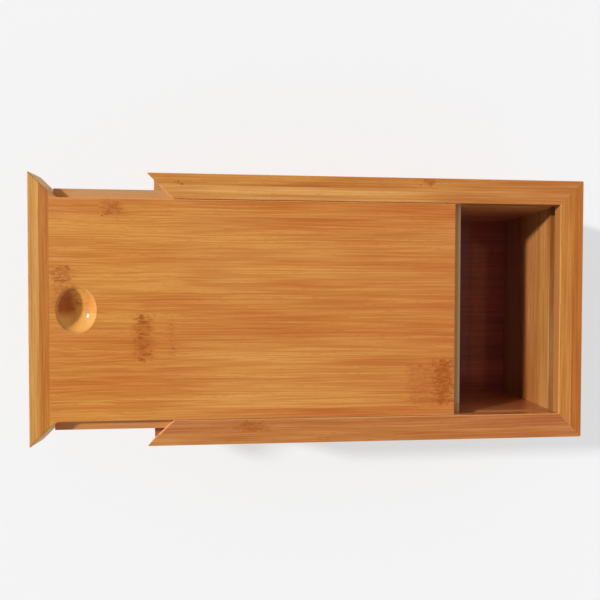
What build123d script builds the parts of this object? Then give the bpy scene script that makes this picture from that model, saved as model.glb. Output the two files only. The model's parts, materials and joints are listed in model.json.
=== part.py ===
# A bamboo box with a sliding lid.
#
# The box lies along X, with its pulling end at -X, and stands on the plane Z = 0. The origin is the centre
# of its underside. Each wall is two boards thick. The inner board stops short of the rim, and a lip batten
# closes the wall above it, so that a groove is left between the two for the lid's tongue. The front wall is
# lower, and the lid carries the mitred strip that completes the rim there. The lid is drawn part way out.
import os
from math import radians, sqrt, tan

from build123d import *

# ---------------------------------------------------------------- driving dimensions, in millimetres
length = 200.0  # the box alone, along X
width = 120.0  # along Y
height = 50.0  # underside to rim

outer_board = 5.2  # thickness of the boards that show outside
inner_board = 6.0  # thickness of the boards that show inside, and depth of the lid's groove
corner_radius = 0.8  # the upright corners
arris = 0.4  # easing of the edges that a hand meets

floor_thickness = 4.5
floor_seat = 3.0  # how far the floor reaches into the inner boards
floor_staves = 5

clearance = 0.2  # between the lid and all that it slides past
lid_thickness = 6.8  # of the lid's board, behind its strip
rabbet_depth = 4.0  # from the lid's face down to its tongue
side_tongue = 4.7  # how far the tongue stands out from the lid's raised sides
rear_tongue = 4.2  # the same at the rear edge
lid_drawn = 50.0  # how far out the lid is

strip_height = 10.4  # the strip across the lid's pulling end, which reaches down to the front wall
strip_outer_board = 4.6  # the two boards that it is made of
strip_inner_board = 4.2
cutter_radius = 4.0  # where the side rabbet runs out into the mitre
lid_staves = 6  # of one width, but for the two at the edges
left_edge_stave = 12.3
right_edge_stave = 9.1

recess_from_front = 20.0  # from the strip's outer face to the middle of the finger recess
recess_length = 17.1  # along X
recess_width = 20.2  # along Y
recess_depth = 4.6
recess_arris = 0.4

# ---------------------------------------------------------------- what follows from them
wall = outer_board + inner_board
inside_outer_boards = (length - 2 * outer_board, width - 2 * outer_board)
cavity = (length - 2 * wall, width - 2 * wall)
floor_size = (cavity[0] + 2 * floor_seat, cavity[1] + 2 * floor_seat)

lid_bottom = height - lid_thickness
tongue_top = height - rabbet_depth
strip_bottom = height - strip_height
groove_floor = lid_bottom - clearance  # top of the inner boards, but for the front one
groove_roof = tongue_top + clearance  # underside of the lips
front_wall_top = strip_bottom - clearance

# Places on the lid: X from the outer face of its strip, Y from its middle.
lid_frame = Plane(origin=(-length / 2 - lid_drawn, 0, 0))
strip_width = strip_outer_board + strip_inner_board
board_rear = length - wall - clearance
board_half = cavity[1] / 2 - clearance
tongue_half = board_half + side_tongue
mitre_tip = width / 2 - clearance * sqrt(2)  # the clearance is square to the mitre
mitre_end = mitre_tip - board_half
run_out_room = (mitre_end - strip_width) * sqrt(2) / tan(radians(45 / 2))
run_out = min(cutter_radius, run_out_room)
lid_stave = (2 * tongue_half - left_edge_stave - right_edge_stave) / (lid_staves - 2)

# The finger recess is scooped by an arc turned about an axis that lies along the lid, above its face.
scoop_arc_radius = (recess_length**2 / 4 + recess_depth**2) / (2 * recess_depth)
scoop_radius = (recess_width**2 / 4 + recess_depth**2) / (2 * recess_depth)
scoop_axis = height - recess_depth + scoop_radius


def save(piece, name):
    """Labels a finished piece and writes its STEP file."""
    piece.part.label = name
    export_step(piece.part, f"parts/{name}.step")


def mitre(end, side):
    """The upright plane through a corner, with the side wall on its positive side.

    end is -1 at the front and 1 at the rear, and side is 1 at the left and -1 at the right.
    """
    return Plane(origin=(end * length / 2, side * width / 2, 0), z_dir=(-end, side, 0))


def side_board(frame, side):
    """The left or right board of a frame, mitred at both ends."""
    with BuildPart() as piece:
        add(frame.part)
        split(bisect_by=Plane(origin=(0, 0, 0), z_dir=(0, side, 0)), keep=Keep.TOP)
        for end in (-1, 1):
            split(bisect_by=mitre(end, side), keep=Keep.TOP)
    return piece


def end_board(frame, end):
    """The front or rear board of a frame, mitred at both ends."""
    with BuildPart() as piece:
        add(frame.part)
        split(bisect_by=Plane(origin=(0, 0, 0), z_dir=(end, 0, 0)), keep=Keep.TOP)
        for side in (-1, 1):
            split(bisect_by=mitre(end, side), keep=Keep.BOTTOM)
    return piece


def lowered(frame):
    """A frame cut down to the height of the front wall."""
    with BuildPart() as piece:
        add(frame.part)
        split(bisect_by=Plane.XY.offset(front_wall_top), keep=Keep.BOTTOM)
    return piece


def across_x(x):
    return Plane(origin=(x, 0, 0), z_dir=(1, 0, 0))


def across_y(y):
    return Plane(origin=(0, y, 0), z_dir=(0, 1, 0))


def parted(blank, start, stop):
    """The piece of a blank between two planes that face the same way."""
    with BuildPart() as piece:
        add(blank.part)
        split(bisect_by=start, keep=Keep.TOP)
        split(bisect_by=stop, keep=Keep.BOTTOM)
    return piece


os.makedirs("parts", exist_ok=True)

# ---------------------------------------------------------------- walls, each kind of board as a whole frame
with BuildPart() as outer_frame:
    with BuildSketch():
        RectangleRounded(length, width, corner_radius)
        Rectangle(*inside_outer_boards, mode=Mode.SUBTRACT)
    extrude(amount=height)
    rims = outer_frame.faces().filter_by(Axis.Z).sort_by(Axis.Z)
    fillet([*rims[0].outer_wire().edges(), *rims[-1].outer_wire().edges()], arris)

with BuildPart() as inner_frame:
    with BuildSketch():
        Rectangle(*inside_outer_boards)
        Rectangle(*cavity, mode=Mode.SUBTRACT)
    extrude(amount=groove_floor)
    with BuildSketch():
        Rectangle(*floor_size)
    extrude(amount=floor_thickness, mode=Mode.SUBTRACT)

with BuildPart() as lip_frame:
    with BuildSketch(Plane.XY.offset(groove_roof)) as lip_plan:
        Rectangle(*inside_outer_boards)
        Rectangle(*cavity, mode=Mode.SUBTRACT)
        # There is no lip at the front, and the side lips end in mitres rounded to seat in the lid's run-outs.
        with BuildLine():
            corners = [(length / 2, width / 2), (cavity[0] / 2, cavity[1] / 2)]
            Polyline(*[(-x, y) for x, y in corners], *[(-x, -y) for x, y in reversed(corners)], close=True)
        make_face(mode=Mode.SUBTRACT)
        fillet(lip_plan.vertices().group_by(Axis.X)[1], run_out - clearance)
    extrude(amount=height - groove_roof)
    rim = lip_frame.faces().filter_by(Axis.Z).sort_by(Axis.Z)[-1].edges()
    reach = (cavity[1] + inner_board) / 2
    inside = rim.filter_by_position(Axis.X, -length / 2, cavity[0] / 2)
    fillet(inside.filter_by_position(Axis.Y, -reach, reach), arris)

for side, name in ((1, "left"), (-1, "right")):
    save(side_board(outer_frame, side), f"{name}_outer_board")
    save(side_board(inner_frame, side), f"{name}_inner_board")
    save(side_board(lip_frame, side), f"{name}_lip")

save(end_board(outer_frame, 1), "rear_outer_board")
save(end_board(inner_frame, 1), "rear_inner_board")
save(end_board(lip_frame, 1), "rear_lip")

# The front wall stops where the lid's strip comes down to it.
with BuildPart() as low_outer_frame:
    add(lowered(outer_frame).part)
    rim = low_outer_frame.faces().filter_by(Axis.Z).sort_by(Axis.Z)[-1]
    fillet(rim.outer_wire().edges(), arris)

save(end_board(low_outer_frame, -1), "front_outer_board")
save(end_board(lowered(inner_frame), -1), "front_inner_board")

# ---------------------------------------------------------------- floor, glued up from staves
with BuildPart() as floor_board:
    with BuildSketch():
        Rectangle(*floor_size)
    extrude(amount=floor_thickness)

floor_stave = floor_size[1] / floor_staves
for number in range(floor_staves):
    right = number * floor_stave - floor_size[1] / 2
    stave = parted(floor_board, across_y(right), across_y(right + floor_stave))
    save(stave, f"floor_stave_{number + 1}")

# ---------------------------------------------------------------- lid, worked as one blank and parted after
with BuildPart() as lid_blank:
    # The raised face is mitred at its pulling end, and the rabbet runs out into the mitre on a radius.
    with BuildSketch(lid_frame.offset(tongue_top)) as raised_face:
        left_side = [(0, mitre_tip), (mitre_end, board_half), (board_rear, board_half)]
        right_side = [(x, -y) for x, y in reversed(left_side)]
        with BuildLine():
            Polyline(*left_side, *right_side, close=True)
        make_face()
        fillet(raised_face.vertices().group_by(Axis.X)[1], run_out)
        with Locations((length / 2, 0)):
            RectangleRounded(length, width, corner_radius, mode=Mode.INTERSECT)
    extrude(amount=rabbet_depth)
    face = lid_blank.faces().sort_by(Axis.Z)[-1]
    fillet(face.edges(), arris)

    with BuildSketch(lid_frame.offset(lid_bottom)):
        with Locations((strip_width, 0)):
            tongue_length = board_rear + rear_tongue - strip_width
            Rectangle(tongue_length, 2 * tongue_half, align=(Align.MIN, Align.CENTER))
    extrude(amount=lid_thickness - rabbet_depth)

    # The strip is deeper than the lid's board.
    with BuildSketch(lid_frame.offset(strip_bottom)):
        add(raised_face.sketch_local)
        Rectangle(strip_width, width, align=(Align.MIN, Align.CENTER), mode=Mode.INTERSECT)
    extrude(amount=strip_height - rabbet_depth)
    underside = lid_blank.faces().filter_by(Axis.Z).sort_by(Axis.Z)[0]
    fillet(underside.edges().filter_by(Axis.Y), arris)

    # The finger recess, with its edge eased.
    scoop_origin = (lid_frame.origin.X + recess_from_front, 0, scoop_axis)
    scoop_plane = Plane(origin=scoop_origin, x_dir=(1, 0, 0), z_dir=(0, -1, 0))
    with BuildSketch(scoop_plane):
        with Locations((0, scoop_radius - scoop_arc_radius)):
            Circle(scoop_arc_radius)
        Rectangle(2 * recess_length, scoop_radius, align=(Align.CENTER, Align.MIN), mode=Mode.INTERSECT)
    revolve(axis=Axis(scoop_plane.origin, scoop_plane.x_dir), mode=Mode.SUBTRACT)
    face = lid_blank.faces().filter_by(Axis.Z).sort_by(Axis.Z)[-1]
    fillet(face.inner_wires()[0].edges(), recess_arris)

lid_front = lid_frame.origin.X
strip_joint = lid_front + strip_outer_board
board_joint = lid_front + strip_width
save(parted(lid_blank, across_x(lid_front), across_x(strip_joint)), "strip_outer")
save(parted(lid_blank, across_x(strip_joint), across_x(board_joint)), "strip_inner")

lid_board = parted(lid_blank, across_x(board_joint), across_x(length))
glue_lines = [right_edge_stave - tongue_half + number * lid_stave for number in range(lid_staves - 1)]
edges = [-width, *glue_lines, width]
for number, (right, left) in enumerate(zip(edges, edges[1:]), start=1):
    save(parted(lid_board, across_y(right), across_y(left)), f"lid_stave_{number}")
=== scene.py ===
# %% [markdown]
# # A bamboo box with a sliding lid
#
# This notebook dresses a box that was made in CAD. The boards, the lid and the way they slide are already
# settled there, so nothing here moves or reshapes them. What is left is what makes bamboo look like bamboo:
# fibres, the glued strips, the nodes of the cane, pale end grain and a satin varnish. One thing is made as
# real geometry, the fibre ends that crowd together at each node.
#
# The frame comes first. Every board arrives as an object of its own, already in place, in metres.

# %% Load the frame
import json
import math
from collections import namedtuple

import bpy
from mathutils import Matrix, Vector

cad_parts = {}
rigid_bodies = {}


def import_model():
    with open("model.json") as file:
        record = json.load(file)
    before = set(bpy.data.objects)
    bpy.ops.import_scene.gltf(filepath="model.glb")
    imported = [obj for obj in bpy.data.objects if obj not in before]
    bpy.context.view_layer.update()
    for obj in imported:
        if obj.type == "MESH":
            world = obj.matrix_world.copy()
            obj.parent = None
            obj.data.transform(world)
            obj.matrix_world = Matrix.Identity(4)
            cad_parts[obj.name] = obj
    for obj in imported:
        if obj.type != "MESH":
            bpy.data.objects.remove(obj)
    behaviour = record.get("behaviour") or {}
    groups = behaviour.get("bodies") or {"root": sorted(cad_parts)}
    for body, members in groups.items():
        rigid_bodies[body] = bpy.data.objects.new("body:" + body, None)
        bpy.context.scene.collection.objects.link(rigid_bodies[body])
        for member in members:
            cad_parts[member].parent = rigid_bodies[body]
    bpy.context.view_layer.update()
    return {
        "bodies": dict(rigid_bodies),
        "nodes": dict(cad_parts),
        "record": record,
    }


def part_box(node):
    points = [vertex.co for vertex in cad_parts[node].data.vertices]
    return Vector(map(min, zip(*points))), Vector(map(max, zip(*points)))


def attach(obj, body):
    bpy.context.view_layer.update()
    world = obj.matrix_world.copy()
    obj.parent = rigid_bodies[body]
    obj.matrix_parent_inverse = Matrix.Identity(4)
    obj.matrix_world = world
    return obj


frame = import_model()
boards = frame["nodes"]

# %% [markdown]
# The camera looks straight down on the box from about the height of a hand holding it, tipped by a few
# degrees. A lens this short makes the near rim larger than the floor inside, so the rear wall shows.
# It could be aimed with a Track To constraint, but the tilt is part of the look, so its turn is given.

# %% The camera
picture_size = 600
lens_axis_drop = -1  # the lens's axis falls this many pixels below the middle of the picture

camera_data = bpy.data.cameras.new("camera")
camera_data.lens = 24.0
camera_data.sensor_width = 36.0
camera_data.shift_y = lens_axis_drop / picture_size
camera_data.clip_start = 0.01
camera = bpy.data.objects.new("camera", camera_data)
camera.location = (-0.0443, 0.0077, 0.2288)
camera.rotation_euler = (-0.0159, -0.0639, 0.0015)
bpy.context.scene.collection.objects.link(camera)
bpy.context.scene.camera = camera
bpy.context.scene.view_settings.view_transform = "Standard"
print("the camera stands", round(camera.location.z * 1000), "mm above the table")

# %% [markdown]
# Two lights do the work. A distant lamp, low at the left, draws the shadow of the strip and lights the rear
# wall inside. It is a Sun lamp, because a softbox close by would burn out the table on its own side. A soft
# sky fills the rest. Their strengths are chosen so that a flat face that sees both is lit by about 1, which
# means that a colour shows about as it is written.

# %% The key light
toward_key = Vector((-2.0, 0.56, 1.0)).normalized()
key_angle = math.radians(4.6)  # how large it looks from the box, which sets how soft the shadows are
key_strength = 3.62  # what a face square to the light gets, in watts to the square metre

key_data = bpy.data.lights.new("key_light", "SUN")
key_data.angle = key_angle
key_data.energy = key_strength
key = bpy.data.objects.new("key_light", key_data)
key.location = toward_key
key.rotation_euler = toward_key.to_track_quat("Z", "Y").to_euler()
bpy.context.scene.collection.objects.link(key)
print("key light", round(math.degrees(math.asin(toward_key.z)), 1), "degrees above the table")

# %% [markdown]
# Node trees are used for everything from here on. Writing them out one node at a time is long, so one helper
# adds a node, sets its options and fills its inputs. It returns an output, which the next call can take in.

# %% A helper for node trees


def add_node(tree, kind, inputs=(), output=0, **options):
    """Adds a node, fills its inputs by place or by name, and returns one of its outputs."""
    node = tree.nodes.new(kind)
    for option, value in options.items():
        setattr(node, option, value)
    pairs = inputs.items() if isinstance(inputs, dict) else enumerate(inputs)
    for place, value in pairs:
        if isinstance(value, bpy.types.NodeSocket):
            tree.links.new(value, node.inputs[place])
        elif value is not None:
            node.inputs[place].default_value = value
    return node.outputs[output]


def calc(tree, operation, *values):
    """One step of arithmetic."""
    return add_node(tree, "ShaderNodeMath", values, operation=operation)


def ease(tree, value, start, stop):
    """0 where a value is below start, 1 above stop, and smooth between. Start may be the larger."""
    low, high = min(start, stop), max(start, stop)
    ends = (0.0, 1.0) if start < stop else (1.0, 0.0)
    return add_node(
        tree, "ShaderNodeMapRange", (value, low, high, *ends), interpolation_type="SMOOTHSTEP", clamp=True
    )


def mix(tree, share, first, second, kind="MIX"):
    """Two colours mixed by a share from 0 to 1."""
    names = {0: share, 6: first, 7: second}
    return add_node(tree, "ShaderNodeMix", names, output=2, data_type="RGBA", blend_type=kind)


print("helpers ready")

# %% [markdown]
# The sky is the soft light of a room with pale walls and a dim ceiling, so it is strong near the horizon and
# weak overhead. That is why the wood outside is evenly lit, and why the inside of the box stays dark. To the
# camera the sky shows the table's own white, so that the table has no far edge.

# %% The sky
sky_low = 0.95  # near the horizon
sky_high = 0.14  # overhead
table_white = 0.915

world = bpy.data.worlds.new("pale_room")
world.use_nodes = True
sky = world.node_tree
sky.nodes.clear()
toward = add_node(sky, "ShaderNodeTexCoord", output="Generated")
rise = add_node(sky, "ShaderNodeClamp", (add_node(sky, "ShaderNodeSeparateXYZ", (toward,), output="Z"),))
as_lamp = calc(sky, "MULTIPLY_ADD", rise, sky_high - sky_low, sky_low)
camera_ray = add_node(sky, "ShaderNodeLightPath", output="Is Camera Ray")
seen_as = add_node(sky, "ShaderNodeMix", (camera_ray, None, as_lamp, table_white))
shine = add_node(sky, "ShaderNodeBackground", {"Color": (1, 1, 1, 1), "Strength": seen_as})
sky.links.new(shine, sky.nodes.new("ShaderNodeOutputWorld").inputs["Surface"])
bpy.context.scene.world = world
print("sky from", sky_low, "to", sky_high, "as a lamp, and", table_white, "to the eye")

# %% [markdown]
# The table is a plain sheet of white card. Lit like everything else, it would keep the box's shadow at its
# full depth, and the low key light would throw that across the whole right side. So part of what the camera
# sees of the card is its own white, and the rest is lit, with the shadow in it.

# %% The table
table_half = 4.0
shadow_depth = 0.42  # 1 would leave the shadow as dark as it falls
own_white = (0.965, 0.970, 0.973, 1)

table_mesh = bpy.data.meshes.new("table")
turns = [(-1, -1), (1, -1), (1, 1), (-1, 1)]
table_mesh.from_pydata([(x * table_half, y * table_half, 0) for x, y in turns], [], [(0, 1, 2, 3)])
table = bpy.data.objects.new("table", table_mesh)
bpy.context.scene.collection.objects.link(table)

card = bpy.data.materials.new("white_card")
card.use_nodes = True
tree = card.node_tree
tree.nodes.clear()
lit = add_node(tree, "ShaderNodeBsdfDiffuse", {"Color": (table_white, table_white, table_white, 1)})
own = add_node(tree, "ShaderNodeEmission", {"Color": own_white})
camera_ray = add_node(tree, "ShaderNodeLightPath", output="Is Camera Ray")
own_share = calc(tree, "MULTIPLY", camera_ray, 1 - shadow_depth)
surface = add_node(tree, "ShaderNodeMixShader", (own_share, lit, own))
tree.links.new(surface, tree.nodes.new("ShaderNodeOutputMaterial").inputs["Surface"])
table.data.materials.append(card)
print("table of", 2 * table_half, "m")

# %% [markdown]
# ## Bamboo
#
# Bamboo board is not sawn from a trunk. Canes are split into flat strips about 20 mm wide, and the strips are
# glued edge to edge. So a face shows three things at three scales: strips that differ a little in tone, fine
# straight fibres that run the whole length, and nodes, where the cane had its joints and the fibres cross in
# a rough band of dark points.
#
# The nodes are listed first, because two things need them: the material darkens the wood there, and real
# geometry adds the fibre ends. Each is given by the board it is on, the side of the board that shows it,
# where its middle is, how large it is, in millimetres, and how strong. The last value is False for a node
# that shows as colour alone, because it is faint or small, or because the finger recess has cut it away.

# %% Where the cane's nodes show
Knot = namedtuple("Knot", "board side middle size strength ends", defaults=(True,))

knots = [
    Knot("lid_stave_6", "+Z", (-114.2, 43.8), (10.5, 8.6), 0.8),
    Knot("lid_stave_4", "+Z", (-136.0, 15.0), (9.4, 9.0), 0.9),
    Knot("lid_stave_4", "+Z", (-134.5, 5.2), (9.5, 12.0), 0.9, False),
    Knot("lid_stave_3", "+Z", (-101.6, -12.2), (8.5, 20.4), 1.0),
    Knot("lid_stave_3", "+Z", (-89.3, -12.2), (3.6, 19.0), 0.4),
    Knot("lid_stave_2", "+Z", (33.0, -33.5), (11.0, 21.0), 1.3),
    Knot("lid_stave_2", "+Z", (24.0, -34.0), (16.0, 19.0), 0.5, False),
    Knot("right_lip", "+Z", (-54.0, -52.3), (15.0, 4.5), 0.8),
    Knot("left_outer_board", "+Z", (-84.4, 55.2), (4.0, 1.4), 2.5, False),
    Knot("left_outer_board", "+Z", (26.5, 58.6), (9.0, 4.0), 0.9, False),
    Knot("left_outer_board", "+Y", (-48.0, 26.0), (12.0, 19.0), 0.8),
    Knot("left_outer_board", "+Y", (52.0, 8.0), (11.0, 15.0), 0.8),
    Knot("right_outer_board", "-Y", (-22.0, 43.0), (11.0, 13.0), 0.5),
    Knot("right_outer_board", "-Y", (61.0, 26.0), (12.0, 19.0), 0.9),
    Knot("rear_outer_board", "+X", (18.0, 26.0), (12.0, 19.0), 0.8),
    Knot("front_outer_board", "-X", (-21.0, 8.0), (12.0, 15.0), 0.8),
]
print(len(knots), "nodes on", len({knot.board for knot in knots}), "boards")

# %% [markdown]
# Every board has its fibres along its length. A pattern that is stretched along X would run the wrong way on
# the end boards, so each material first turns its place into the board's own three directions: along the
# fibres, across the strips, and through the thickness. Two letters say it for each board.

# %% Which way each board's fibres run
axes = "XYZ"


def directions(board):
    """The axis along the fibres and the axis across the strips, for a board."""
    end_board = board.startswith(("front", "rear", "strip"))
    along = "Y" if end_board else "X"
    upright = board.endswith(("outer_board", "inner_board"))
    across = "Z" if upright else ("X" if end_board else "Y")
    return along, across


for board in ("lid_stave_3", "left_outer_board", "rear_lip"):
    along, across = directions(board)
    print(board, "has fibres along", along, "and strips side by side along", across)

# %% [markdown]
# The figure of the wood is a group of nodes, shared by every board. Noise is the right tool, because no two
# stretches of bamboo are alike. It is squeezed across the fibres and drawn out along them, at several scales:
# broad drifts of tone, streaks a few millimetres wide, thin dark lines, and the hair-fine fibres themselves.
# The place is pushed sideways first. It wanders a little everywhere, swirls near a node, and bends gently
# where the figure is wild.

# %% The figure of the wood
# How long each kind of blotch is along the fibres and how wide across them, in millimetres, then how much
# detail it has, and an offset that keeps one kind from falling where another does.
blotches = {
    "wander": (70, 16, 1.0, 0.0),
    "swirl": (5, 3, 2.0, 7.0),
    "bend": (32, 10, 1.0, 43.0),
    "drift": (110, 11, 2.0, 0.0),
    "broad": (110, 17, 2.0, 0.0),
    "streak": (80, 2.0, 3.0, 3.0),
    "fibre": (36, 0.65, 1.0, 11.0),
    "line": (55, 0.8, 1.0, 19.0),
    "dash": (4, 0.55, 2.0, 31.0),
}
push = {"wander": 0.8, "swirl": 5.0, "bend": 2.4}  # how far each moves the fibres, in millimetres
line_range = (0.54, 0.72)  # of the noise, from where a dark line starts to where it is full


def stretched_noise(tree, place, length, width, detail, offset=0.0):
    """Noise whose blotches are so long along the fibres and so wide across them, in millimetres."""
    scale = (1 / length, 1 / width, 1 / width)
    vector = add_node(tree, "ShaderNodeVectorMath", (place, scale), operation="MULTIPLY")
    vector = add_node(tree, "ShaderNodeVectorMath", (vector, (offset,) * 3), operation="ADD")
    settings = {"Vector": vector, "Scale": 1.0, "Detail": detail, "Roughness": 0.5}
    return add_node(tree, "ShaderNodeTexNoise", settings)


def centred(tree, noise):
    """Noise about 0 in place of about a half."""
    return calc(tree, "SUBTRACT", noise, 0.5)


figure = bpy.data.node_groups.new("bamboo_figure", "ShaderNodeTree")
for name, kind in (("Place", "NodeSocketVector"), ("Knot", "NodeSocketFloat"), ("Wild", "NodeSocketFloat")):
    figure.interface.new_socket(name=name, in_out="INPUT", socket_type=kind)
shown = [name for name in blotches if name not in push]
for name in shown:
    figure.interface.new_socket(name=name.capitalize(), in_out="OUTPUT", socket_type="NodeSocketFloat")
given = figure.nodes.new("NodeGroupInput").outputs
result = figure.nodes.new("NodeGroupOutput").inputs

wander, swirl, bend = [
    centred(figure, stretched_noise(figure, given["Place"], *blotches[name])) for name in push
]
swirl = calc(figure, "MULTIPLY", swirl, given["Knot"])
bend = calc(figure, "MULTIPLY", bend, given["Wild"])
shift = calc(figure, "MULTIPLY_ADD", wander, push["wander"], calc(figure, "MULTIPLY", swirl, push["swirl"]))
shift = calc(figure, "MULTIPLY_ADD", bend, push["bend"], shift)
sideways = add_node(figure, "ShaderNodeCombineXYZ", (0.0, shift, shift))
place = add_node(figure, "ShaderNodeVectorMath", (given["Place"], sideways), operation="ADD")

for name in shown:
    value = stretched_noise(figure, place, *blotches[name])
    if name == "line":
        value = ease(figure, value, *line_range)
    figure.links.new(value, result[name.capitalize()])
print("figure with", len(figure.nodes), "nodes")

# %% [markdown]
# Now the wood itself. A finish is made for each board, because each strip of cane has its own tone and its
# own seed, and because only some boards have a node. Every finish is built in the same steps, and each step
# is a short function that takes a colour and gives one back. What the steps need to know about the spot that
# is being coloured is gathered once, in a record called a spot.
#
# First come two masks: how far a spot belongs to a node, and how near it is to a glue line.

# %% Nodes and glue lines as masks
knot_rag = 7.0  # how far the edge of a node wanders, in millimetres
knot_rag_size = 2.2  # how large its notches are
knot_fade_along = 4.0  # how softly a node ends along the fibres
knot_fade_across = 1.5
glue_width = 0.16


def pick(tree, vector, axis):
    """One coordinate of a vector."""
    return add_node(tree, "ShaderNodeSeparateXYZ", (vector,), output=axes.index(axis))


def knot_mask(tree, point, board, along):
    """How far a spot belongs to a node of the board, with a ragged edge. None where the board has no node."""
    mask = None
    own_knots = [knot for knot in knots if knot.board == board]
    if own_knots:
        ragged = centred(tree, stretched_noise(tree, point, knot_rag_size, knot_rag_size, 3.0))
    for knot in own_knots:
        near = knot.strength
        plane_axes = [axis for axis in axes if axis != knot.side[1]]
        for axis, middle, extent in zip(plane_axes, knot.middle, knot.size):
            away = calc(tree, "ABSOLUTE", calc(tree, "SUBTRACT", pick(tree, point, axis), middle))
            away = calc(tree, "MULTIPLY_ADD", ragged, knot_rag, away)
            fade = knot_fade_along if axis == along else knot_fade_across
            near = calc(tree, "MULTIPLY", ease(tree, away, extent / 2 + fade / 2, extent / 2 - fade), near)
        mask = near if mask is None else calc(tree, "MAXIMUM", mask, near)
    return mask


def glue_lines(tree, point, across, first, pitch):
    """The number of the strip that a point is on, and 1 where two strips meet."""
    steps = calc(tree, "DIVIDE", calc(tree, "SUBTRACT", pick(tree, point, across), first), pitch)
    number = calc(tree, "FLOOR", steps)
    rest = calc(tree, "FRACT", steps)
    to_edge = calc(tree, "MULTIPLY", calc(tree, "MINIMUM", rest, calc(tree, "SUBTRACT", 1.0, rest)), pitch)
    return number, ease(tree, to_edge, glue_width, 0.0)


print("a glue line is", 2 * glue_width, "mm wide where it shows")

# %% [markdown]
# The record of a spot holds its point in the frame and its place in the board's own directions, both in
# millimetres, and how squarely it looks along each axis. Object coordinates are read, so the pattern sits on
# the board and slides with it. A board of several strips jumps to another part of the noise at each joint,
# and each strip has a tone of its own.

# %% What a finish knows about a spot
Spot = namedtuple("Spot", "tree board family along top point place height lengthways looks knot seam tone")
board_steps = (137.0, 71.0, 23.0)  # how far apart in the noise two boards are, so that no two look alike
strip_step = 61.0  # the same for the strips of a board
tone_spread = 0.3  # how much the strips of a board differ in tone
tone_middle = 0.5  # halfway between the light and the dark colour


def place_on_board(tree, point, along, across, seed):
    """The place along the fibres, across the strips and through the board, in millimetres."""
    through = next(axis for axis in axes if axis not in (along, across))
    ordered = [pick(tree, point, axis) for axis in (along, across, through)]
    ordered = add_node(tree, "ShaderNodeCombineXYZ", ordered)
    start = [seed * step for step in board_steps]
    return add_node(tree, "ShaderNodeVectorMath", (ordered, start), operation="ADD")


def survey(tree, board, seed, joints):
    """Gathers what the steps need to know about a spot on a board."""
    along, across = directions(board)
    metres = add_node(tree, "ShaderNodeTexCoord", output="Object")
    point = add_node(tree, "ShaderNodeVectorMath", (metres, (1000.0,) * 3), operation="MULTIPLY")
    facing = add_node(tree, "ShaderNodeTexCoord", output="Normal")
    looks = [calc(tree, "ABSOLUTE", pick(tree, facing, axis)) for axis in axes]
    place = place_on_board(tree, point, along, across, seed)
    tone, seam = tone_middle, None
    if joints:
        number, seam = glue_lines(tree, point, across, *joints)
        strip_seed = calc(tree, "ADD", number, seed * 3.7)
        chance = add_node(tree, "ShaderNodeTexWhiteNoise", {"W": strip_seed}, noise_dimensions="1D")
        tone = calc(tree, "MULTIPLY_ADD", centred(tree, chance), tone_spread, tone_middle)
        jump = add_node(tree, "ShaderNodeCombineXYZ", (calc(tree, "MULTIPLY", number, strip_step), 0.0, 0.0))
        place = add_node(tree, "ShaderNodeVectorMath", (place, jump), operation="ADD")
    return Spot(
        tree=tree,
        board=board,
        family=board.split("_")[0],
        along=along,
        top=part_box(board)[1].z * 1000,
        point=point,
        place=place,
        height=pick(tree, point, "Z"),
        lengthways=pick(tree, point, "X"),
        looks=looks,
        knot=knot_mask(tree, point, board, along),
        seam=seam,
        tone=tone,
    )


print("a spot's record has", len(Spot._fields), "entries")

# %% [markdown]
# The first step gives the ground colour. Light and dark are mixed by drift and streak, and the fibres, the
# lines and the dashes lie over that as a stain. The lid's wide strips have broader bands and fainter streaks
# than the narrow boards, and its figure gets wild at the pulling end. There it is also painted warmer, as
# painted light of the lamp, and lid and side walls darken slowly towards the rear, as painted shade where
# the light falls off away from the lamp.

# %% The ground colour and the fibres
fibre_stain = (0.78, 0.56, 0.38, 1)  # what a fibre lets through of the colour under it
lamp_end_tint = (1.0, 0.96, 0.70, 1)  # painted light: what the warmer light at the lamp's end lets through
lamp_end_reach = (-60.0, -125.0)  # along X, from where the painted warmth starts to where it is full
wild_reach = (-70.0, -100.0)  # the same for the wild figure
# painted shade: the light falling off away from the lamp at the left
falloff_shade = {"lid": 0.0015, "left": 0.003, "right": 0.003}  # share of the dark colour gained in each mm
falloff_turn = -20.0  # and where along X it is neither gained nor lost
tone_source = {"lid": ("Broad", 3.0, 1.1)}  # which bands, how strong they are, and how strong the streaks
plain_tone_source = ("Drift", 2.4, 1.4)
fibre_range = (0.36, 0.66)  # of the noise, from where a fibre starts to where it is full
dash_range = (0.52, 0.68)
fibre_share = 0.68  # how much of the stain each of the three can take
line_share = 0.78
dash_share = 0.5


def figure_at(spot):
    """The figure of the wood at a spot."""
    grain = spot.tree.nodes.new("ShaderNodeGroup")
    grain.node_tree = figure
    spot.tree.links.new(spot.place, grain.inputs["Place"])
    if spot.knot is not None:
        spot.tree.links.new(spot.knot, grain.inputs["Knot"])
    if spot.family == "lid":
        spot.tree.links.new(ease(spot.tree, spot.lengthways, *wild_reach), grain.inputs["Wild"])
    return grain.outputs


def stained(tree, share, colour, stain):
    """A colour as seen through a stain, by a share from 0 to 1."""
    return mix(tree, share, colour, mix(tree, 1.0, colour, stain, "MULTIPLY"))


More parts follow.
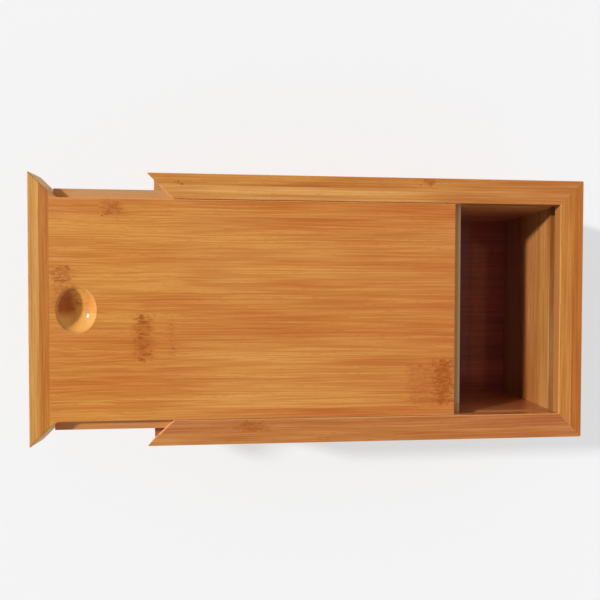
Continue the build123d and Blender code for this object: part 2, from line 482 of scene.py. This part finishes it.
def ground(spot, grain, light, dark):
    """The colour of sound, flat wood."""
    tree = spot.tree
    bands, band_share, streak_share = tone_source.get(spot.family, plain_tone_source)
    share = calc(tree, "MULTIPLY_ADD", centred(tree, grain[bands]), band_share, spot.tone)
    share = calc(tree, "MULTIPLY_ADD", centred(tree, grain["Streak"]), streak_share, share)
    # painted shade: darker away from the lamp
    if spot.family in falloff_shade:
        from_turn = calc(tree, "ADD", spot.lengthways, -falloff_turn)
        share = calc(tree, "MULTIPLY_ADD", from_turn, falloff_shade[spot.family], share)
    colour = mix(tree, add_node(tree, "ShaderNodeClamp", (share,)), light, dark)
    # painted light: warmer towards the lamp's end
    if spot.family == "lid":
        colour = stained(tree, ease(tree, spot.lengthways, *lamp_end_reach), colour, lamp_end_tint)
    fibre = calc(tree, "MULTIPLY", ease(tree, grain["Fibre"], *fibre_range), fibre_share)
    line = calc(tree, "MULTIPLY", grain["Line"], line_share)
    dash = calc(tree, "MULTIPLY", ease(tree, grain["Dash"], *dash_range), dash_share)
    stain = calc(tree, "MAXIMUM", calc(tree, "MAXIMUM", fibre, line), dash)
    return stained(tree, stain, colour, fibre_stain)


print("ground colours for", len({board.split("_")[0] for board in boards}), "families of boards")

# %% [markdown]
# The finger recess is painted paler, as painted light: a little on the lid's fourth strip, where the lamp
# strikes it, and more on the third, where it lifts the shade. Its front wall has part of a node in it, and
# painted shade darkens that, so the colour runs from brown at the front over orange to pale at the rear.
# The orange is painted light in the shaded middle of the recess.

# %% The finger recess
# painted light and shade in the recess: pale and orange lift it, brown darkens its front with the node
scoop_light_pale = (0.76, 0.44, 0.12, 1)
scoop_light_orange = (0.95, 0.42, 0.06, 1)
scoop_node_shade_brown = (0.42, 0.070, 0.006, 1)
scoop_shares = {"lid_stave_3": (0.6, 0.5), "lid_stave_4": (0.25, 1.0)}  # of the pale, and of the orange
scoop_depths = (0.4, 1.2)  # below the lid's face, from the eased edge to where its own colour is full
scoop_facing = (0.3, 0.5)  # how squarely a face looks up, from an upright one to one of the recess
orange_reach = (-127.3, -129.5)  # along X
brown_reach = (-130.5, -135.0)  # along X
brown_side = (-4.5, 0.5)  # along Y
brown_share = 0.85


def scoop_mask(spot):
    """1 in the finger recess, and 0 elsewhere."""
    deep = ease(spot.tree, spot.height, *[spot.top - depth for depth in scoop_depths])
    return calc(spot.tree, "MULTIPLY", deep, ease(spot.tree, spot.looks[2], *scoop_facing))


def colour_scoop(spot, scooped, colour):
    """Painted light in the recess, pale and then orange, and painted shade in brown towards its front."""
    tree = spot.tree
    pale_share, orange_share = scoop_shares[spot.board]
    # painted light: the recess is painted paler
    colour = mix(tree, calc(tree, "MULTIPLY", scooped, pale_share), colour, scoop_light_pale)
    # painted light: orange in the shaded middle
    lifted_shade = calc(tree, "MULTIPLY", scooped, ease(tree, spot.lengthways, *orange_reach))
    colour = mix(tree, calc(tree, "MULTIPLY", lifted_shade, orange_share), colour, scoop_light_orange)
    # painted shade, with part of a node: brown on the front wall of the recess
    node_and_shade = calc(tree, "MULTIPLY", scooped, ease(tree, spot.lengthways, *brown_reach))
    node_and_shade = calc(tree, "MULTIPLY", node_and_shade, ease(tree, pick(tree, spot.point, "Y"), *brown_side))
    return mix(tree, calc(tree, "MULTIPLY", node_and_shade, brown_share), colour, scoop_node_shade_brown)


print("the recess is cut into", *scoop_shares)

# %% [markdown]
# A node is darker and redder than the wood round it, partly as a smudge and partly in specks. A glue line is
# a thin dark one.

# %% Nodes and glue lines as colour
node_brown = (0.43, 0.100, 0.006, 1)
# the dark of the glue lines, also used as painted shadow on the front wall's top
glue_and_shade_dark = (0.30, 0.10, 0.02, 1)
speck_blotches = (3.0, 0.9, 2.0, 5.0)  # as in the figure: how long, how wide, how detailed, and the offset
speck_range = (0.44, 0.62)  # of the noise, from where a speck starts to where it is full
speck_share = 0.6
smudge_share = 0.4
seam_share = 0.4


def colour_nodes(spot, colour):
    """The nodes and the glue lines."""
    tree = spot.tree
    if spot.knot is not None:
        points = stretched_noise(tree, spot.place, *speck_blotches)
        specks = calc(tree, "MULTIPLY", ease(tree, points, *speck_range), spot.knot)
        smudge = calc(tree, "MULTIPLY", spot.knot, smudge_share)
        smudge = calc(tree, "MULTIPLY_ADD", specks, speck_share, smudge)
        colour = mix(tree, smudge, colour, node_brown)
    if spot.seam is not None:
        colour = mix(tree, calc(tree, "MULTIPLY", spot.seam, seam_share), colour, glue_and_shade_dark)
    return colour


print("node and glue colours ready")

# %% [markdown]
# Two level faces were cut late and only wiped with varnish, so they are paler: the lid's tongue, and the top
# of the low front wall. Both are found by their height. Along the tongue's rear edge a painted highlight
# makes it palest, and close to the strip it stays less pale, as painted shadow of the strip. The front
# wall's top is painted paler at its left end, as painted light, and dark at its right, as painted shadow of
# the lid's tongue.

# %% Faces that were cut late
# paler cut faces, and painted light on the front wall's top
cut_and_lit_pale = (0.60, 0.34, 0.14, 1)
# painted light: on the sliding faces and along the tongue's rear edge
painted_light_pale = (0.85, 0.56, 0.30, 1)
rabbet_depth = 4.0  # from the lid's face down to its tongue
tongue_share = 0.8
tongue_shares = {"lid_stave_1": 0.4}  # the tongue on the right is less pale
strip_shadow_reach = (-140.0, -131.0)  # along X
strip_shadow_least = 0.2  # what is left of the paleness there
tongue_rear_highlight = (1.5, 0.5)  # from the board's rear end
lid_shadow_side = (-46.0, -51.0)  # along Y
lit_end_side = (40.0, 50.0)  # along Y
lit_end_shares = (0.1, 0.8)  # how pale the wall's top is, before that and past it
lid_shadow_share = 0.85
near_level = (0.5, 0.1)  # how far off its height a level face may be
level_facing = (0.98, 0.999)  # how squarely it looks up


def level_face(spot, level):
    """1 on a level face at a height, and 0 elsewhere."""
    tree = spot.tree
    off_level = calc(tree, "ABSOLUTE", calc(tree, "SUBTRACT", spot.height, level))
    near = ease(tree, off_level, *near_level)
    return calc(tree, "MULTIPLY", near, ease(tree, spot.looks[2], *level_facing))


def colour_tongue(spot, colour):
    """The lid's tongue."""
    tree = spot.tree
    raw = level_face(spot, spot.top - rabbet_depth)
    raw = calc(tree, "MULTIPLY", raw, tongue_shares.get(spot.board, tongue_share))
    # painted shadow: the tongue stays less pale close to the strip
    beyond_strip_shadow = ease(tree, spot.lengthways, *strip_shadow_reach)
    beyond_strip_shadow = calc(tree, "MULTIPLY_ADD", beyond_strip_shadow, 1 - strip_shadow_least, strip_shadow_least)
    raw = calc(tree, "MULTIPLY", raw, beyond_strip_shadow)
    colour = mix(tree, raw, colour, cut_and_lit_pale)
    # painted highlight: a pale line along the tongue's rear edge
    to_rear = calc(tree, "SUBTRACT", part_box(spot.board)[1].x * 1000, spot.lengthways)
    rear_highlight = calc(tree, "MULTIPLY", ease(tree, to_rear, *tongue_rear_highlight), raw)
    return mix(tree, rear_highlight, colour, painted_light_pale)


def colour_front_top(spot, colour):
    """The top of the low front wall."""
    tree = spot.tree
    raw = level_face(spot, spot.top)
    leftwards = pick(tree, spot.point, "Y")
    # painted shadow of the lid's tongue at the wall's right end
    lid_shadow = calc(tree, "MULTIPLY", raw, ease(tree, leftwards, *lid_shadow_side))
    colour = mix(tree, calc(tree, "MULTIPLY", lid_shadow, lid_shadow_share), colour, glue_and_shade_dark)
    # painted light: the wall's top is paler towards its left end
    least, most = lit_end_shares
    raw_share = calc(tree, "MULTIPLY_ADD", ease(tree, leftwards, *lit_end_side), most - least, least)
    return mix(tree, calc(tree, "MULTIPLY", raw, raw_share), colour, cut_and_lit_pale)


print("late cuts ready")

# %% [markdown]
# End grain and the eased edges are paler too, and both are found from the way a face looks: end grain faces
# along the fibres and is upright, and a rounded edge faces none of the three axes squarely. The pale on an
# eased edge is a painted highlight, strongest beside the lid's gap. A mitre gets a colour of its own, which
# on the strip is much paler, as a painted reflection of the pale table that its end faces catch at a grazing
# angle. The fibres show as pores in both.

# %% End grain and rubbed edges
end_pale = (0.42, 0.27, 0.14, 1)
board_mitre_pale = (0.50, 0.28, 0.11, 1)
strip_mitre_reflection = (0.66, 0.46, 0.24, 1)
edge_highlight_pale = (0.72, 0.36, 0.12, 1)
edge_depth = 0.45  # how far below a board's top its eased edge reaches
eased_edge_facing = (0.999, 0.97)  # how squarely an eased edge looks along any axis
end_facing = (0.55, 0.68)  # how squarely end grain looks along the fibres
end_upright = (0.3, 0.1)  # and how squarely it may look up or down
mitre_facing = (0.95, 0.80)  # and how a mitre is told from a square end
gap_highlight_share = 0.5  # how pale an edge is beside the lid's gap
edge_highlight_share = 0.25  # and elsewhere
end_share = 0.7
pore_depth = 0.8


def eased_edge_mask(spot):
    """1 on the eased edges round a board's top."""
    tree = spot.tree
    squarest = calc(tree, "MAXIMUM", calc(tree, "MAXIMUM", spot.looks[0], spot.looks[1]), spot.looks[2])
    high = ease(tree, spot.height, spot.top - 2 * edge_depth, spot.top - edge_depth)
    return calc(tree, "MULTIPLY", ease(tree, squarest, *eased_edge_facing), high)


def end_mask(spot):
    """1 on end grain."""
    tree = spot.tree
    cut_across = ease(tree, spot.looks[axes.index(spot.along)], *end_facing)
    return calc(tree, "MULTIPLY", cut_across, ease(tree, spot.looks[2], *end_upright))


def colour_edges(spot, eased_edges, ends, fibre, colour):
    """The eased edges with their painted highlight, and the end grain."""
    tree = spot.tree
    beside_gap = spot.family == "lid" or spot.board.endswith("lip")
    share = gap_highlight_share if beside_gap else edge_highlight_share
    # painted highlight: the eased edges are paler
    colour = mix(tree, calc(tree, "MULTIPLY", eased_edges, share), colour, edge_highlight_pale)
    aslant = ease(tree, spot.looks[axes.index(spot.along)], *mitre_facing)
    # painted reflection: the strip's mitres are much paler
    pale = mix(tree, aslant, end_pale, strip_mitre_reflection if spot.family == "strip" else board_mitre_pale)
    pores = calc(tree, "MULTIPLY_ADD", centred(tree, fibre), -pore_depth, 1.0)
    pale = mix(tree, 1.0, pale, add_node(tree, "ShaderNodeCombineColor", (pores,) * 3), "MULTIPLY")
    return mix(tree, calc(tree, "MULTIPLY", ends, end_share), colour, pale)


print("edges of", edge_depth, "mm ready")

# %% [markdown]
# The upright faces that lid and side lips slide on are bare, and painted pale, the lips only where the drawn
# lid lies against them: that pale is painted light, which lifts the shade in the narrow gap. The rear lip's
# upright face and its eased edge are painted darker, as painted shade where the low lamp lights them square
# on. Low down inside the box the wood is painted darker still, as painted shade.

# %% Sliding faces and the inside
inside_painted_shade = (0.66, 0.34, 0.38, 1)  # painted shade: what the low inside of the box lets through
rear_face_painted_shade = (0.33, 0.135, 0.04, 1)
sliding_boards = ("left_lip", "right_lip")
slide_upright = (0.5, 0.2)  # how squarely a sliding face may look up or down
rear_upright = (0.98, 0.5)  # the same for the rear lip's face, which takes in its eased edge
lip_worn_and_lit = (44.0, 38.0)  # along X
shade_heights = (36.0, 16.0)  # heights
slide_light_share = 0.6
rear_shade_share = 0.85
inside_shade_share = 0.85


def slide_mask(spot):
    """1 on the upright faces that slide, or None for a board that has none."""
    if spot.family != "lid" and spot.board not in sliding_boards:
        return None
    upright = ease(spot.tree, spot.looks[2], *slide_upright)
    if spot.family == "lid":
        return upright
    return calc(spot.tree, "MULTIPLY", upright, ease(spot.tree, spot.lengthways, *lip_worn_and_lit))


def colour_inside(spot, sliding, colour):
    """The sliding faces, the rear lip's face and the low part of the inside."""
    tree = spot.tree
    # painted light: the sliding faces are paler, which lifts the shade in the lid's gap
    if sliding is not None:
        colour = mix(tree, calc(tree, "MULTIPLY", sliding, slide_light_share), colour, painted_light_pale)
    # painted shade: the rear lip's upright face and its eased edge are darker
    if spot.board == "rear_lip":
        upright = ease(tree, spot.looks[2], *rear_upright)
        colour = mix(tree, calc(tree, "MULTIPLY", upright, rear_shade_share), colour, rear_face_painted_shade)
    # painted shade: darker low down inside the box
    if spot.board.endswith("inner_board"):
        low = calc(tree, "MULTIPLY", ease(tree, spot.height, *shade_heights), inside_shade_share)
        colour = stained(tree, low, colour, inside_painted_shade)
    return colour


print("inside darkens below", shade_heights[0], "mm")

# %% [markdown]
# The last step is the surface. It is a satin varnish, a little duller along the fibres, over wood that the
# fibres leave slightly ribbed. End grain drinks it and hands wear it off the edges, the sliding faces and
# the recess, so little is left there. With that, one finish can be put together.

# %% One bamboo finish
varnish = {"Specular IOR Level": 0.15, "Coat Weight": 1.0, "Coat Roughness": 0.13, "Coat IOR": 1.5}
scoop_bare = 0.75  # how much of the varnish the recess has lost
rib_height = 0.00006  # in metres
rib_strength = 0.35
line_dip = 0.6  # how much deeper than the fibres a dark line lies
plain_dull = 0.34  # roughness between the fibres
fibre_dull = 0.16  # what a fibre adds to it
bare_dull = 0.25  # what lost varnish adds


def surface_of(spot, grain, bare, colour):
    """The varnished surface, where bare is 1 if no varnish is left."""
    tree = spot.tree
    coat = calc(tree, "SUBTRACT", 1.0, bare)
    dull = calc(tree, "MULTIPLY_ADD", grain["Fibre"], fibre_dull, plain_dull)
    dull = calc(tree, "MULTIPLY_ADD", bare, bare_dull, dull)
    ribs = calc(tree, "MULTIPLY_ADD", grain["Line"], -line_dip, grain["Fibre"])
    shape = {"Strength": rib_strength, "Distance": rib_height, "Height": ribs}
    relief = add_node(tree, "ShaderNodeBump", shape)
    settings = {"Base Color": colour, "Roughness": dull, "Coat Weight": coat, "Normal": relief}
    return add_node(tree, "ShaderNodeBsdfPrincipled", {**varnish, **settings})


def bamboo(board, light, dark, seed, joints=None):
    """The finish of one board, from its light and its dark colour and where its strips are joined."""
    finish = bpy.data.materials.new(f"bamboo_{board}")
    finish.use_nodes = True
    tree = finish.node_tree
    tree.nodes.clear()

    spot = survey(tree, board, seed, joints)
    grain = figure_at(spot)
    eased_edges, ends, sliding = eased_edge_mask(spot), end_mask(spot), slide_mask(spot)
    scooped = scoop_mask(spot) if board in scoop_shares else None

    colour = ground(spot, grain, light, dark)
    if scooped is not None:
        colour = colour_scoop(spot, scooped, colour)
    colour = colour_nodes(spot, colour)
    if spot.family == "lid":
        colour = colour_tongue(spot, colour)
    if spot.family == "front":
        colour = colour_front_top(spot, colour)
    colour = colour_edges(spot, eased_edges, ends, grain["Fibre"], colour)
    colour = colour_inside(spot, sliding, colour)

    bare = calc(tree, "MAXIMUM", ends, eased_edges)
    if sliding is not None:
        bare = calc(tree, "MAXIMUM", bare, sliding)
    if scooped is not None:
        bare = calc(tree, "MAXIMUM", bare, calc(tree, "MULTIPLY", scooped, scoop_bare))
    surface = surface_of(spot, grain, bare, colour)
    tree.links.new(surface, tree.nodes.new("ShaderNodeOutputMaterial").inputs["Surface"])
    return finish


print("ready to finish", len(boards), "boards")

# %% [markdown]
# Each board now gets its colours. Linear values are used, as the shader wants them. Lid, lips and outer
# boards came from different canes, so each kind has its own pair, and so have a few boards of their own. The
# inner walls and the floor have their own colours as painted light and shade instead. The boards of a kind
# differ by their seed, which comes from the board's place in the list.

# %% Colours of the boards


def linear(red, green, blue):
    """A linear colour from one given as it shows on a screen, from 0 to 255."""
    return (*[((value / 255 + 0.055) / 1.055) ** 2.4 for value in (red, green, blue)], 1.0)


palette = {  # the light and the dark colour of each kind, or of one board
    "lid": (linear(229, 161, 83), linear(211, 127, 56)),
    "outer": (linear(219, 151, 73), linear(195, 115, 47)),
    "right_outer_board": (linear(223, 161, 90), linear(200, 123, 58)),
    "rear_outer_board": (linear(204, 128, 40), linear(182, 97, 25)),
    "inner": (linear(224, 165, 102), linear(202, 128, 66)),
    # painted light and shade: the inner boards are one wood, painted lighter on the left wall, which lies in
    # shade, and darker on the right and rear walls
    "left_inner_board": (linear(238, 178, 116), linear(216, 140, 78)),
    "right_inner_board": (linear(200, 138, 90), linear(178, 104, 56)),
    "rear_inner_board": (linear(194, 146, 87), linear(163, 104, 50)),
    "left_lip": (linear(234, 173, 97), linear(206, 131, 61)),
    "right_lip": (linear(214, 145, 82), linear(188, 107, 50)),
    "rear_lip": (linear(218, 151, 64), linear(192, 112, 38)),
    "strip_outer": (linear(229, 173, 92), linear(216, 153, 71)),
    "strip_inner": (linear(217, 146, 54), linear(196, 117, 36)),
    # painted shade: the floor's dark red is partly the shade it lies in
    "floor": (linear(163, 70, 53), linear(133, 51, 39)),
}
strip_joints = {"outer_board": (16.0, 20.0), "inner_board": (17.5, 17.5)}  # height of the first, and pitch
chosen_seeds = {"left_lip": 67.0}  # this one puts the lip's dark stretch at the rear


def kind_of(board):
    """The entry of the palette that a board takes its colours from."""
    if board in palette:
        return board
    for word, kind in (("lid", "lid"), ("floor", "floor"), ("outer", "outer")):
        if word in board:
            return kind
    return "inner"


for number, (board, node) in enumerate(sorted(boards.items())):
    light, dark = palette[kind_of(board)]
    joints = next((joints for ending, joints in strip_joints.items() if board.endswith(ending)), None)
    finish = bamboo(board, light, dark, chosen_seeds.get(board, 1.0 + number), joints)
    node.data.materials.clear()
    node.data.materials.append(finish)
print("finished", len(boards), "boards")

# %% [markdown]
# ## Fibre ends at the nodes
#
# At a node the fibre bundles turn and come out at the face, where they stand a hair's breadth proud of the
# varnish. A texture alone looks printed when the light rakes over it, so these are small solids. There are
# hundreds, scattered by one rule, which is work for Geometry Nodes: points are dealt over a patch, thinned
# towards its edge, and a flat bead is set on each, drawn out along the fibres.

# %% A patch for each node


def patches(body):
    """A mesh with one small square for each node on a body, and each square's fibre direction."""
    corners, squares, fibres, shares = [], [], [], []
    own_boards = frame["record"]["behaviour"]["bodies"][body]
    for knot in knots:
        if knot.board not in own_boards or not knot.ends:
            continue
        lowest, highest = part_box(knot.board)
        normal = axes.index(knot.side[1])
        level = (highest if knot.side[0] == "+" else lowest)[normal]
        plane_axes = [number for number in range(3) if number != normal]
        turns = [(-1, -1), (1, -1), (1, 1), (-1, 1)]
        # A square whose corners run from one plane axis to the next faces +X, -Y or +Z.
        if (knot.side[0] == "+") == (normal == 1):
            turns.reverse()
        squares.append([len(corners) + number for number in range(4)])
        for turn in turns:
            corner = [0.0, 0.0, 0.0]
            corner[normal] = level
            for axis, side, middle, extent in zip(plane_axes, turn, knot.middle, knot.size):
                corner[axis] = (middle + side * extent / 2) / 1000
            corners.append(corner)
            shares += [turn[0], turn[1], knot.strength]
        fibres += [float(axis == directions(knot.board)[0]) for axis in axes]
    mesh = bpy.data.meshes.new(f"{body}_patches")
    mesh.from_pydata(corners, [], squares)
    mesh.attributes.new("fibre", "FLOAT_VECTOR", "FACE").data.foreach_set("vector", fibres)
    mesh.attributes.new("share", "FLOAT_VECTOR", "POINT").data.foreach_set("vector", shares)
    return mesh


patch_mesh = {body: patches(body) for body in frame["bodies"]}
for body, mesh in patch_mesh.items():
    facings = [tuple(round(part) for part in patch.normal) for patch in mesh.polygons]
    print(body, "has", len(mesh.polygons), "patches facing", facings)

# %% [markdown]
# The beads' own finish is brown, and darker where noise at the size of the beads says that a bundle is
# thick. They come up through the varnish, so they have none and are dull.

# %% The finish of the fibre ends
bundle_blotches = (1.5, 1.5, 2.0)  # as in the figure: how long, how wide and how detailed
bundle_range = (0.35, 0.65)  # of the noise, from a thin bundle to a thick one

fibre_end = bpy.data.materials.new("bamboo_fibre_ends")
fibre_end.use_nodes = True
tree = fibre_end.node_tree
tree.nodes.clear()
metres = add_node(tree, "ShaderNodeTexCoord", output="Object")
point = add_node(tree, "ShaderNodeVectorMath", (metres, (1000.0,) * 3), operation="MULTIPLY")
thick = ease(tree, stretched_noise(tree, point, *bundle_blotches), *bundle_range)
colour = mix(tree, thick, linear(198, 108, 36), linear(168, 82, 22))
dull = {**varnish, "Base Color": colour, "Roughness": 0.6, "Coat Weight": 0.0}
surface = add_node(tree, "ShaderNodeBsdfPrincipled", dull)
tree.links.new(surface, tree.nodes.new("ShaderNodeOutputMaterial").inputs["Surface"])
print("fibre ends finished")

# %% [markdown]
# The tree deals points at random. The first two parts of the attribute `share` run from -1 to 1 across each
# patch, so the larger of them says how near the edge a point is. The third is the node's strength. Together
# with noise that makes the points crowd, they say how likely a point is to stay. The bead gets its finish
# before it is set on the points, and the instances are made real last.

# %% The tree that deals the fibre ends
crowd_noise = {"Scale": 320.0, "Detail": 1.0}
crowd_range = (0.40, 0.62)  # of the noise, from where no point stays to where they crowd
edge_power = 2.0  # how late the points thin out towards a patch's edge
swell_range = {"Min": 0.55, "Max": 1.5}  # how much smaller or larger than its size a bead may be

dealer = bpy.data.node_groups.new("deal_fibre_ends", "GeometryNodeTree")
dealer.interface.new_socket(name="Geometry", in_out="INPUT", socket_type="NodeSocketGeometry")
sizes = {"Ends per Square Metre": 900000.0, "Length": 0.00042, "Width": 0.00022, "Rise": 0.000012}
for name, value in sizes.items():
    socket = dealer.interface.new_socket(name=name, in_out="INPUT", socket_type="NodeSocketFloat")
    socket.default_value = value
for name, kind in (("Seed", "NodeSocketInt"), ("Finish", "NodeSocketMaterial")):
    dealer.interface.new_socket(name=name, in_out="INPUT", socket_type=kind)
dealer.interface.new_socket(name="Geometry", in_out="OUTPUT", socket_type="NodeSocketGeometry")
given = dealer.nodes.new("NodeGroupInput").outputs
result = dealer.nodes.new("NodeGroupOutput")

dealt = dealer.nodes.new("GeometryNodeDistributePointsOnFaces")
for name, source in (("Mesh", "Geometry"), ("Density", "Ends per Square Metre"), ("Seed", "Seed")):
    dealer.links.new(given[source], dealt.inputs[name])
share = add_node(dealer, "GeometryNodeInputNamedAttribute", ("share",), data_type="FLOAT_VECTOR")
from_middle = [calc(dealer, "ABSOLUTE", pick(dealer, share, axis)) for axis in "XY"]
edge = calc(dealer, "POWER", calc(dealer, "MAXIMUM", *from_middle), edge_power)
room = calc(dealer, "MULTIPLY", calc(dealer, "SUBTRACT", 1.0, edge), pick(dealer, share, "Z"))
crowd = add_node(dealer, "ShaderNodeTexNoise", crowd_noise)
room = calc(dealer, "MULTIPLY", room, ease(dealer, crowd, *crowd_range))
chance = add_node(dealer, "FunctionNodeRandomValue", {"Seed": given["Seed"]}, output=1, data_type="FLOAT")
lost = add_node(dealer, "FunctionNodeCompare", (chance, room), operation="GREATER_THAN", data_type="FLOAT")
kept = add_node(dealer, "GeometryNodeDeleteGeometry", (dealt.outputs["Points"], lost), domain="POINT")

fibre_way = add_node(dealer, "GeometryNodeInputNamedAttribute", ("fibre",), data_type="FLOAT_VECTOR")
upright = add_node(dealer, "FunctionNodeAlignRotationToVector", {"Vector": dealt.outputs["Normal"]}, axis="Z")
settings = {"Rotation": upright, "Vector": fibre_way}
turned = add_node(dealer, "FunctionNodeAlignRotationToVector", settings, axis="X", pivot_axis="Z")
bead = add_node(dealer, "GeometryNodeMeshIcoSphere", {"Radius": 1.0, "Subdivisions": 1})
bead = add_node(dealer, "GeometryNodeSetMaterial", {"Geometry": bead, "Material": given["Finish"]})
bead_size = add_node(dealer, "ShaderNodeCombineXYZ", (given["Length"], given["Width"], given["Rise"]))
swell = add_node(dealer, "FunctionNodeRandomValue", swell_range, output=1, data_type="FLOAT")
bead_size = add_node(dealer, "ShaderNodeVectorMath", {0: bead_size, "Scale": swell}, operation="SCALE")
settings = {"Points": kept, "Instance": bead, "Rotation": turned, "Scale": bead_size}
beads = add_node(dealer, "GeometryNodeInstanceOnPoints", settings)
real = add_node(dealer, "GeometryNodeRealizeInstances", (beads,))
dealer.links.new(real, result.inputs["Geometry"])
print("dealer with", len(dealer.nodes), "nodes")

# %% [markdown]
# One object for each body, because the lid's fibre ends slide with the lid. The modifier's result is turned
# into a plain mesh and the modifier is left behind, so that what rides on the body is finished geometry.

# %% Deal them


def fibre_ends(body, seed):
    """The fibre ends of one body, as a plain mesh that rides on it."""
    maker = bpy.data.objects.new(f"{body}_maker", patch_mesh[body])
    bpy.context.scene.collection.objects.link(maker)
    modifier = maker.modifiers.new("deal", "NODES")
    modifier.node_group = dealer
    for item in dealer.interface.items_tree:
        if item.in_out == "INPUT" and item.name == "Seed":
            modifier[item.identifier] = seed
        if item.in_out == "INPUT" and item.name == "Finish":
            modifier[item.identifier] = fibre_end
    evaluated = maker.evaluated_get(bpy.context.evaluated_depsgraph_get())
    mesh = bpy.data.meshes.new_from_object(evaluated)
    mesh.name = f"{body}_fibre_ends"
    # The tree leaves an empty slot ahead of the finish. One slot is enough.
    mesh.materials.clear()
    mesh.materials.append(fibre_end)
    mesh.polygons.foreach_set("material_index", [0] * len(mesh.polygons))
    ends = bpy.data.objects.new(f"{body}_fibre_ends", mesh)
    bpy.context.scene.collection.objects.link(ends)
    bpy.data.objects.remove(maker)
    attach(ends, body)
    return ends


faces_of_bead = 20
for seed, body in enumerate(frame["bodies"], start=4):
    ends = fibre_ends(body, seed)
    print(ends.name, "has", len(ends.data.polygons) // faces_of_bead, "fibre ends")
